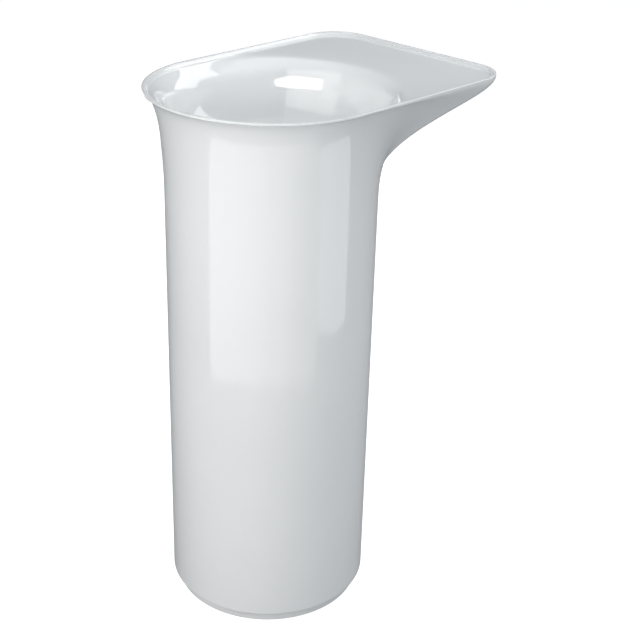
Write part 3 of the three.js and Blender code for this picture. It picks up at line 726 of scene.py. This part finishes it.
def base_gasket():
    low, high = GASKET_LOW[2], GASKET_HIGH[2]
    outer = (GASKET_HIGH[0] - GASKET_LOW[0]) / 2
    piece = tube("seam_gasket", RING_RADIUS - 19, outer, low, high, RUBBER, segments=192, fillet=0.4)
    stands_for(piece, "basin", "black_rubber", "base_gasket")


def clamp(number, angle):
    """Bolt up through a lug, bar from the lug over the column's foot, rubber pad, washer and nut."""
    at_bolt = upright(x=BOLT_REACH, turn=angle)
    about = upright(turn=angle)
    base, flats, r = 0.8, 13, BOLT_RADIUS
    end = BAR_TOP + 14.1
    shank = [(0, base), (flats / 2 - 1.2, base), (flats / 2 - 0.3, base + 0.6), (flats / 2, base + 1)]
    shank += [(flats / 2, base + 4.6), (flats / 2 - 0.4, base + 5), (r, base + 5)]
    shank += thread_line(r, base + 6, end - 1, BOLT_PITCH) + [(r - 1, end), (0, end)]
    cut_thread = thread_wave(r, base + 6, end - 1, BOLT_PITCH)
    cut_flats = hexagon_wave(flats, base, base + 5)

    def wave(turn, radius, z):
        return cut_flats(turn, radius, z) if radius > r + 0.1 else cut_thread(turn, radius, z)

    bolt = turned(f"anchor_bolt_{number}", shank, ZINC, 72, 0, at_bolt, wave)
    stands_for(bolt, "basin", "zinc_steel", f"hold_down_bolt_{number}")

    start = BOLT_REACH - 16
    bar = rounded_block("bar", (start, LEDGE_RADIUS + 17), 26, (BAR_TOP - 5, BAR_TOP), ZINC, 0, about)
    heel = rounded_block("heel", (start, start + 5), 26, (12 + GAP, BAR_TOP - 1), ZINC, 0, about)
    boolean(bar, heel, "UNION")
    hole = rod("hole", r + 0.6, BAR_TOP - 9, BAR_TOP + 2, ZINC, segments=48, fillet=0, place=at_bolt)
    boolean(bar, hole)
    bar.name = f"hold_down_bar_{number}"
    soften(bar, 0.9, 3)
    stands_for(bar, "basin", "zinc_steel", f"clamp_bar_{number}")

    low = LEDGE_TOP + GAP
    ends = (LEDGE_RADIUS + 3.5, LEDGE_RADIUS + 16)
    pad = rounded_block(f"bar_pad_{number}", ends, 26, (low, low + 2.7), RUBBER, 0.6, about)
    stands_for(pad, "basin", "black_rubber", f"clamp_pad_{number}")

    low = BAR_TOP + GAP
    washer = tube(f"bolt_washer_{number}", r + GAP, 8, low, low + 1.6, ZINC, fillet=0.3, place=at_bolt)
    stands_for(washer, "basin", "zinc_steel", f"clamp_washer_{number}")
    low += 1.6 + GAP
    nut = hexagon_nut(f"bolt_nut_{number}", flats, r + GAP, low, low + 6.5, ZINC, at_bolt)
    stands_for(nut, "basin", "zinc_steel", f"clamp_nut_{number}")


# ---- Waste: heights count from the seat in the bowl ----
def waste_body():
    bore, low = THREAD - 2.9, WASTE_END - SEAT
    profile = [(bore, low)] + [(THREAD - 0.6, low)] + thread_line(THREAD, low + 0.8, -8, PITCH)
    edge = FLANGE_RADIUS
    dish = rounded(
        [
            (THREAD, -8),
            (THREAD, FLANGE_UNDER),
            (edge, FLANGE_UNDER),
            (edge, FLANGE_UPPER),
            (edge - 5, FLANGE_UPPER),
            (THREAD - 0.5, FLANGE_UPPER - 2.2),
            (bore, FLANGE_UPPER - 5.2),
            (bore, HUB_TOP - 10),
        ],
        1.6, 5, closed=False,
    )
    wave = thread_wave(THREAD, low + 0.8, -8, PITCH)
    piece = turned("waste_outlet", profile + dish[1:], CHROME, 128, 0, upright(SEAT), wave)
    for angle in (0, 60, 120):
        place = upright(SEAT, turn=angle)
        arm = rounded_block("arm", (-bore - 1, bore + 1), 3, (HUB_TOP - 6, HUB_TOP), CHROME, 0, place)
        boolean(piece, arm, "UNION")
    hub = rod("hub", 11.5, HUB_TOP - 8, HUB_TOP, CHROME, segments=64, fillet=0, place=upright(SEAT))
    boolean(piece, hub, "UNION")
    hole = rod("bore", 8.8, HUB_TOP - 9, HUB_TOP + 1, CHROME, segments=64, fillet=0, place=upright(SEAT))
    sharp_edges(boolean(piece, hole), 40)
    stands_for(piece, "basin", "chrome", "waste_body")


def waste_seals():
    at = upright(SEAT)
    gasket = tube("flange_seal", THREAD + GAP, FLANGE_RADIUS - 1, GAP, GAP + 2, RUBBER, place=at)
    stands_for(gasket, "basin", "black_rubber", "flange_gasket")
    under = BOSS_BOTTOM - SEAT - GAP
    rim = THREAD + 12
    seal = tube("boss_seal", THREAD + GAP, rim, under - 3, under, RUBBER, place=at)
    stands_for(seal, "basin", "black_rubber", "lower_gasket")
    under -= 3 + GAP
    slip = tube("slip_washer", THREAD + GAP, rim - 1, under - 1.5, under, PLASTIC, fillet=0.3, place=at)
    stands_for(slip, "basin", "white_plastic", "friction_washer")
    under -= 1.5 + GAP
    nut = hexagon_nut("waste_nut", 2 * rim - 11, THREAD + GAP, under - 9, under, BRASS, at)
    stands_for(nut, "basin", "brass", "back_nut")


def push_plug():
    at, edge, under = upright(SEAT), FLANGE_RADIUS - 1, CAP_UNDER
    stem = STEM_RADIUS + GAP
    low = under - 2.6
    profile = [
        (0, under - 0.8), (stem, under - 0.8), (stem, under - 10), (8, under - 10), (8, low - 2.5),
        (10.5, low - 2.5), (10.5, low), (8, low), (8, under), (edge, under), (edge, under + 3),
        (edge - 1.4, under + 4.2), (0.6 * edge, under + 5.1), (0.25 * edge, under + 5.5), (0, under + 5.6),
    ]
    cap = turned("push_cap", profile, CHROME, 128, 0.8, at)
    stands_for(cap, "plug", "chrome", "plug_cap")
    top, rim = under - GAP, FLANGE_RADIUS - 7.7
    profile = [(8 + GAP, top - 2), (rim - 4, top - 2), (rim, top - 1), (rim, top), (8 + GAP, top)]
    seal = turned("cap_seal", profile, RUBBER, 96, 0.4, at)
    stands_for(seal, "plug", "black_rubber", "plug_seal")
    low, disc, r = PISTON_TOP - 2.5, 6.4, STEM_RADIUS
    profile = [(0, low), (disc, low), (disc, PISTON_TOP), (r, PISTON_TOP), (r, under - 1.1), (0, under - 1.1)]
    stem_piece = turned("push_stem", profile, BRASS, 64, 0.5, at)
    stands_for(stem_piece, "plug", "brass", "plug_stem")


def cartridge():
    low, outer, top = CARTRIDGE_LOW, 8.5, CARTRIDGE_TOP
    inner, mouth, ledge = outer - 1.5, STEM_RADIUS + GAP, HUB_TOP + GAP
    profile = [
        (0, low), (outer, low), (outer, ledge), (outer + 2.7, ledge), (outer + 2.7, ledge + 2.7),
        (outer, ledge + 2.7), (outer, top), (mouth, top), (mouth, top - 1.5), (inner, top - 1.5),
        (inner, low + 2.5), (0, low + 2.5),
    ]
    piece = turned("click_body", profile, PLASTIC, 96, 0.4, upright(SEAT))
    stands_for(piece, "basin", "white_plastic", "click_cartridge")


def spring():
    """A helix of round wire with capped ends, set between the cartridge's floor and the plug's piston."""
    wire, coil, turns, sides, steps = 0.5, 5.3, 5, 10, 240
    low, high = CARTRIDGE_LOW + 2.5 + GAP + wire, PISTON_TOP - 2.5 - GAP - wire
    rise = (high - low) / turns
    points, faces = [], []
    for i in range(steps + 1):
        t = turns * i / steps
        z = low + rise * t
        angle = 2 * pi * t
        for j in range(sides):
            around = 2 * pi * j / sides
            r = coil + wire * cos(around)
            points.append((r * cos(angle), r * sin(angle), z + wire * sin(around)))
    for i in range(steps):
        for j in range(sides):
            k = (j + 1) % sides
            faces.append((i * sides + j, (i + 1) * sides + j, (i + 1) * sides + k, i * sides + k))
    faces += [tuple(range(sides)), tuple(reversed(range(steps * sides, steps * sides + sides)))]
    piece = recalculate(new_object("click_spring", points, faces, [SPRING_STEEL], place=upright(SEAT)))
    stands_for(piece, "basin", "spring_steel", "plug_spring")
    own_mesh(piece)


# ---- Pipe and bottle trap ----
def ribbed_nut(name, node, place):
    """A hand nut with ten soft ribs, chamfered ends and its lip at the bottom."""
    outer, height, lip = THREAD + 5.6, 22, 4.5
    bore, mouth = THREAD + GAP, PIPE_RADIUS + 0.8
    profile = rounded(
        [(mouth, 0), (outer - 1.5, 0), (outer, 1.5), (outer, height - 1), (outer - 1, height),
         (bore, height), (bore, lip), (mouth, lip)], 0.5, 2,
    )

    def wave(turn, r, z):
        if r < outer - 2:
            return r, z
        rib = min(max(0.5 + 2.2 * cos(10 * turn - 0.3 * pi), 0), 1)
        return r - 1.3 * (1 - rib * rib * (3 - 2 * rib)), z

    piece = turned(name, profile, PLASTIC, 240, 0, place, wave)
    stands_for(piece, "basin", "white_plastic", node)


def tailpiece():
    at = upright(WASTE_END)
    ribbed_nut("union_ring", "union_nut", upright(WASTE_END - 10))
    gasket = tube("union_seal", PIPE_BORE + 0.6, FLAT_SEAL, -2.7, -GAP, RUBBER, place=at)
    stands_for(gasket, "basin", "black_rubber", "union_gasket")
    end = OUTLET + SHOULDER + 1 - WASTE_END
    profile = [(PIPE_BORE, end), (PIPE_RADIUS, end), (PIPE_RADIUS, -5.2), (FLAT_SEAL, -5.2)]
    profile += [(FLAT_SEAL, -3), (PIPE_BORE, -3)]
    piece = turned("tail_tube", profile, PLASTIC, 96, 0.5, at)
    stands_for(piece, "basin", "white_plastic", "tailpiece")


def trap():
    at = upright(OUTLET)
    ribbed_nut("inlet_ring", "trap_inlet_nut", flipped(OUTLET + NECK_TOP + 9.8))
    inner, low = PIPE_RADIUS + GAP, NECK_TOP + GAP
    profile = [(inner, low), (FLAT_SEAL, low), (FLAT_SEAL, low + 2), (mix(inner, FLAT_SEAL, 0.6), low + 4.4)]
    seal = turned("inlet_seal", profile + [(inner, low + 4.4)], RUBBER, 96, 0.3, at)
    stands_for(seal, "basin", "black_rubber", "trap_inlet_washer")

    outer, inner = TRAP_RADIUS, TRAP_RADIUS - 3
    head = turned(
        "trap_body",
        [(0, SKIRT), (outer, SKIRT), (outer, SHOULDER), (outer - 4, SHOULDER + 9), (THREAD, NECK),
         (THREAD, NECK_TOP), (0, NECK_TOP)],
        PLASTIC, 96, 2, at,
    )
    branch = rod("branch", THREAD, 0, BRANCH_END, PLASTIC, fillet=0.8, place=level(0))
    boolean(head, branch, "UNION")
    soften(head, 1.6, 3, 30)
    chamber = turned(
        "chamber",
        [
            (0, SKIRT - 1), (inner, SKIRT - 1), (inner, SHOULDER - 2),
            (inner - 4, SHOULDER + 5), (0, SHOULDER + 5),
        ],
        PLASTIC, 96, 1.5, at,
    )
    boolean(head, chamber)
    neck = rod("neck_bore", PIPE_RADIUS + 3 + GAP, SHOULDER, NECK_TOP + 1, PLASTIC, fillet=0, place=at)
    boolean(head, neck)
    inside, outside = TRAP_RADIUS / 3, BRANCH_END + 1
    bore = rod("branch_bore", PIPE_RADIUS + GAP, inside, outside, PLASTIC, fillet=0, place=level(0))
    sharp_edges(boolean(head, bore), 35)
    stands_for(head, "basin", "white_plastic", "trap_head")

    dip = tube("dip_pipe", PIPE_RADIUS + 1, PIPE_RADIUS + 3, CUP_LOW + 30, NECK_TOP - 2, PLASTIC, place=at)
    stands_for(dip, "basin", "white_plastic", "dip_tube")

    outer, low, flange, rim = inner - GAP, CUP_LOW, SKIRT - 2.6, TRAP_RADIUS

    def grip(turn, r, z):
        if r < rim - 1.2 or z > flange:
            return r, z
        return r - 0.7 * (0.5 - 0.5 * cos(36 * turn)), z

    cup = turned(
        "trap_bowl",
        [(0, low), (outer - 8, low), (outer - 2, low + 3), (outer, low + 9), (outer, flange - 8),
         (rim, flange - 8), (rim, flange), (outer, flange), (outer, SKIRT + 12), (outer - 2.5, SKIRT + 12),
         (outer - 2.5, low + 10), (outer - 9, low + 2.5), (0, low + 2.5)],
        PLASTIC, 216, 0.8, at, grip,
    )
    stands_for(cup, "basin", "white_plastic", "trap_cup")
    top = SKIRT - GAP
    seal = tube("bowl_seal", inner, TRAP_RADIUS - GAP, top - 2, top, RUBBER, place=at)
    stands_for(seal, "basin", "black_rubber", "cup_seal")


def outlet():
    ribbed_nut("outlet_ring", "outlet_nut", level(OUTLET_NUT_END, -1))
    low, high = BRANCH_END + GAP, OUTLET_NUT_END - 4.5 - GAP
    seal = tube("outlet_seal", PIPE_RADIUS + GAP, FLAT_SEAL, low, high, RUBBER, fillet=0.3, place=level(0))
    stands_for(seal, "basin", "black_rubber", "outlet_washer")

    start, bend, drop = TRAP_RADIUS + 3, 28, PIPE_LOW[2] - OUTLET
    stations = [(start, 0, 0), (mix(start, PIPE_BACK - bend, 0.5), 0, 0)]
    stations += [
        (PIPE_BACK - bend + bend * sin(t), bend * (cos(t) - 1), t)
        for t in (radians(3.75 * i) for i in range(25))
    ]
    stations += [(PIPE_BACK, mix(-bend, drop, i / 8), pi / 2) for i in range(1, 9)]
    columns = []
    for radius in (PIPE_RADIUS, PIPE_BORE):
        for y, z, turn in stations if radius == PIPE_RADIUS else reversed(stations):
            ring = []
            for i in range(64):
                angle = 2 * pi * i / 64
                up = radius * sin(angle)
                ring.append((radius * cos(angle), y + up * sin(turn), OUTLET + z + up * cos(turn)))
            columns.append(ring)
    points, faces = closed_grid(columns)
    piece = sharp_edges(recalculate(new_object("floor_pipe", points, faces, [PLASTIC])), 50)
    stands_for(piece, "basin", "white_plastic", "waste_pipe")

    inner, outer = PIPE_RADIUS + GAP, PIPE_RADIUS + 7
    profile = [(inner, 0), (outer, 0), (outer, 1.5), (outer - 3, 6), (inner, 6)]
    collar = turned("pipe_collar", profile, RUBBER, 96, 0.6, upright(y=PIPE_BACK))
    stands_for(collar, "basin", "black_rubber", "floor_collar")


ceramic_body()
foot_ring()
base_gasket()
for number, angle in enumerate(CLAMP_ANGLES, 1):
    clamp(number, angle)
waste_body()
waste_seals()
push_plug()
cartridge()
spring()
tailpiece()
trap()
outlet()

for name, node in frame["nodes"].items():
    slot = next(s["material_slot"] for s in frame["record"]["subparts"] if s["node"] == name)
    node.data.materials.clear()
    node.data.materials.append(BY_SLOT[slot])


# ---- Studio ----
def floor():
    """A pale round sweep that curves up far away. It glows a little, so that its shadows stay soft."""
    profile = [(0, 0), (9000, 0)]
    profile += [(9000 + 4000 * sin(t), 4000 - 4000 * cos(t)) for t in (radians(9 * i) for i in range(1, 11))]
    profile.append((13000, 12000))
    columns = []
    for i in range(96):
        turn = 2 * pi * i / 96
        columns.append([(r * cos(turn), r * sin(turn), z) for r, z in profile])
    points, faces = closed_grid(columns, closed_profile=False)
    made, tree, shader, place = material("studio_floor", (0.6, 0.6, 0.6), 0.9)
    shader.inputs["Specular IOR Level"].default_value = 0
    shader.inputs["Emission Color"].default_value = (1, 1, 1, 1)
    shader.inputs["Emission Strength"].default_value = 0.85
    sweep = new_object("studio_floor", points, faces, [made])
    sweep.visible_diffuse = False
    sweep.visible_glossy = False
    sweep.visible_shadow = False


def softbox(name, azimuth, distance, height, size, radiance, aim=None, color=(1, 1, 1)):
    """A rectangular light at an azimuth (0 in front, 90 on +X), level or turned to a height on the axis."""
    light = bpy.data.lights.new(name, "AREA")
    light.shape = "RECTANGLE"
    light.size, light.size_y = size[0] * MM, size[1] * MM
    light.energy = radiance * pi * light.size * light.size_y
    light.color = color
    turn = radians(azimuth)
    place = Vector((sin(turn) * distance, -cos(turn) * distance + AXIS_Y, height)) * MM
    target = Vector((0, AXIS_Y, height if aim is None else aim)) * MM
    lamp = bpy.data.objects.new(name, light)
    track = (target - place).to_track_quat("-Z", "Y").to_matrix().to_4x4()
    lamp.matrix_world = Matrix.Translation(place) @ track
    lamp.visible_camera = False
    bpy.context.scene.collection.objects.link(lamp)
    return lamp


def surroundings():
    """A dim room: a little lighter below than above, and slightly blue."""
    world = bpy.data.worlds.new("studio")
    world.use_nodes = True
    tree = world.node_tree
    place = tree.nodes.new("ShaderNodeTexCoord")
    split = tree.nodes.new("ShaderNodeSeparateXYZ")
    span = tree.nodes.new("ShaderNodeMapRange")
    span.inputs["From Min"].default_value = -0.5
    span.inputs["From Max"].default_value = 0.5
    span.inputs["To Min"].default_value = 0.32
    span.inputs["To Max"].default_value = 0.25
    background = tree.nodes["Background"]
    background.inputs["Color"].default_value = (0.9, 0.95, 1.0, 1)
    tree.links.new(place.outputs["Generated"], split.inputs["Vector"])
    tree.links.new(split.outputs["Z"], span.inputs["Value"])
    tree.links.new(span.outputs["Result"], background.inputs["Strength"])
    bpy.context.scene.world = world


def studio():
    """Low cards in front for the long highlight, a strip over them, cards beside and a large box behind."""
    warm, cool = (1, 0.985, 0.965), (0.9, 0.95, 1)
    floor()
    surroundings()
    for number, (azimuth, radiance) in enumerate(((-4, 1.25), (24, 1.05), (52, 0.8), (80, 0.6)), 1):
        softbox(f"low_card_{number}", azimuth, 1000, 230, (498, 460), radiance, color=warm)
    softbox("cool_card", 113, 1230, 230, (800, 460), 1.2, color=cool)
    softbox("strip", 36, 917, 1078, (1600, 96), 6)
    softbox("back", 160, 1614, 1810, (1305, 1500), 3, aim=870)
    softbox("fill", -120, 2200, 560, (2400, 960), 1.35, color=warm)
    softbox("key", 5, 2100, 1850, (2600, 2000), 1.6, aim=560, color=warm)
    softbox("overhead", 0, 0, 3000, (2400, 2400), 0.74, aim=0, color=cool)
    bpy.context.scene.view_settings.view_transform = "Standard"


def camera():
    """Seen from the front right and above."""
    azimuth, distance, height = radians(45.96), 1940.57, 1442.93
    pitch, yaw, roll = radians(25.91), radians(-2.45), radians(1.69)
    heading = azimuth + yaw
    ahead = Vector((-sin(heading), cos(heading), 0))
    right = Vector((cos(heading), sin(heading), 0))
    forward = ahead * cos(pitch) - Vector((0, 0, sin(pitch)))
    up = ahead * sin(pitch) + Vector((0, 0, cos(pitch)))
    right, up = right * cos(roll) + up * sin(roll), up * cos(roll) - right * sin(roll)
    lens = bpy.data.cameras.new("camera")
    lens.sensor_width = 36
    lens.lens = 1291.38 / 640 * 36
    lens.clip_end = 100
    eye = bpy.data.objects.new("camera", lens)
    place = Vector((sin(azimuth) * distance, -cos(azimuth) * distance + AXIS_Y, height)) * MM
    turn = Matrix((right, up, -forward)).transposed().to_4x4()
    eye.matrix_world = Matrix.Translation(place) @ turn
    bpy.context.scene.collection.objects.link(eye)
    bpy.context.scene.camera = eye


studio()
camera()
